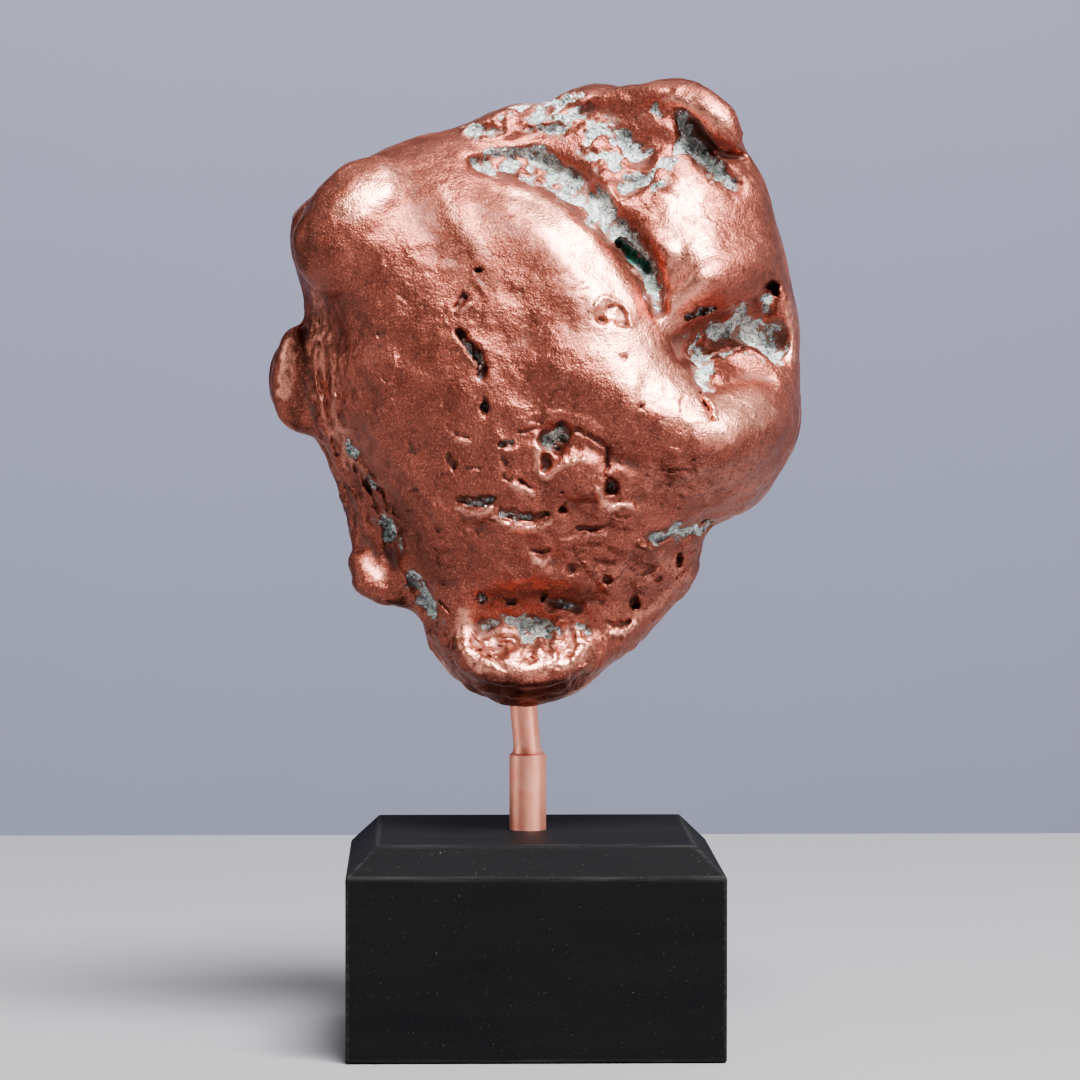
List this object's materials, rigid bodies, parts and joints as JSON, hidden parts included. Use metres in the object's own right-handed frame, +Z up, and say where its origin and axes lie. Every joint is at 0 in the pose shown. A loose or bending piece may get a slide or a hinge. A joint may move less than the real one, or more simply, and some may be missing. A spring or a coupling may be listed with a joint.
{
  "type": "native copper nugget on a stand",
  "caption": "Water-worn native copper nugget with grey-green mineral in its pits, held on a turned pin in a black bevelled wooden block.",
  "frame": {"origin": "centre of the wooden block's underside", "axes": "+Z up along the pin, -Y towards the viewer of the specimen's front, +X to the viewer's right"},
  "size_m": [0.0918, 0.0636, 0.1655],
  "materials": {
    "native_copper": "water-worn satin copper with fine grain, darker in the pits, and grey-green mineral in the hollows",
    "copper_rod": "fine-turned satin copper",
    "black_wood": "satin black paint over faint wood grain"
  },
  "bodies": {
    "root": {"nugget": "native_copper", "post": "copper_rod", "base": "black_wood"}
  },
  "joints": []
}
